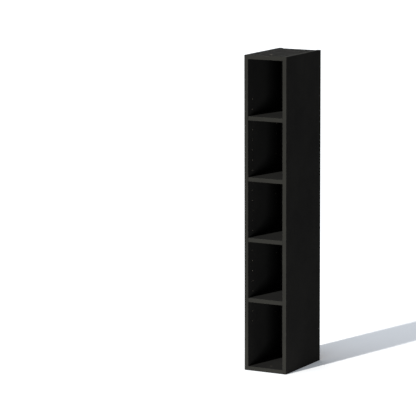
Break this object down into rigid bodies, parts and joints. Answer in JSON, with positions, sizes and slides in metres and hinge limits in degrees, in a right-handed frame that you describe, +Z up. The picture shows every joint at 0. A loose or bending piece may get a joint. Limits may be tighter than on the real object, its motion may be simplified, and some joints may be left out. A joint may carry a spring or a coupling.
{
  "type": "open-shelf unit",
  "caption": "Narrow free-standing shelf tower of black-faced board, open at the front, with a thin back and loose shelves on pins in drilled rows.",
  "frame": {"origin": "middle of the footprint, on the floor", "axes": "+Z up, -Y out of the open front, +X to the right as seen from the front"},
  "size_m": [0.147, 0.236, 1],
  "materials": {
    "black_board": "satin black melamine on chipboard",
    "black_edging": "satin black edging",
    "hardboard": "brown hardboard, black on its front face",
    "plated_steel": "bright plated steel",
    "cast_zinc": "cast zinc, tumbled",
    "beech": "bare beech"
  },
  "bodies": {
    "case": {"left_side": "black_board", "left_side_edging": "black_edging", "left_side_top_edging": "black_edging", "right_side": "black_board", "right_side_edging": "black_edging", "right_side_top_edging": "black_edging", "top_board": "black_board", "top_edging": "black_edging", "top_cam_locks": "cast_zinc", "top_cam_bolts": "plated_steel", "top_dowels": "beech", "bottom_board": "black_board", "bottom_edging": "black_edging", "bottom_cam_locks": "cast_zinc", "bottom_cam_bolts": "plated_steel", "bottom_dowels": "beech", "back_board": "hardboard", "back_nails": "plated_steel", "shelf_1_pins": "plated_steel", "shelf_2_pins": "plated_steel", "shelf_3_pins": "plated_steel", "shelf_4_pins": "plated_steel"},
    "shelf_1": {"shelf_1": "black_board", "shelf_1_edging": "black_edging"},
    "shelf_2": {"shelf_2": "black_board", "shelf_2_edging": "black_edging"},
    "shelf_3": {"shelf_3": "black_board", "shelf_3_edging": "black_edging"},
    "shelf_4": {"shelf_4": "black_board", "shelf_4_edging": "black_edging"}
  },
  "joints": [
    {"name": "shelf_1_slide", "type": "slide", "parent": "case", "child": "shelf_1", "axis": [0, -1, 0], "range_m": [0, 0.185]},
    {"name": "shelf_2_slide", "type": "slide", "parent": "case", "child": "shelf_2", "axis": [0, -1, 0], "range_m": [0, 0.185]},
    {"name": "shelf_3_slide", "type": "slide", "parent": "case", "child": "shelf_3", "axis": [0, -1, 0], "range_m": [0, 0.185]},
    {"name": "shelf_4_slide", "type": "slide", "parent": "case", "child": "shelf_4", "axis": [0, -1, 0], "range_m": [0, 0.185]}
  ]
}
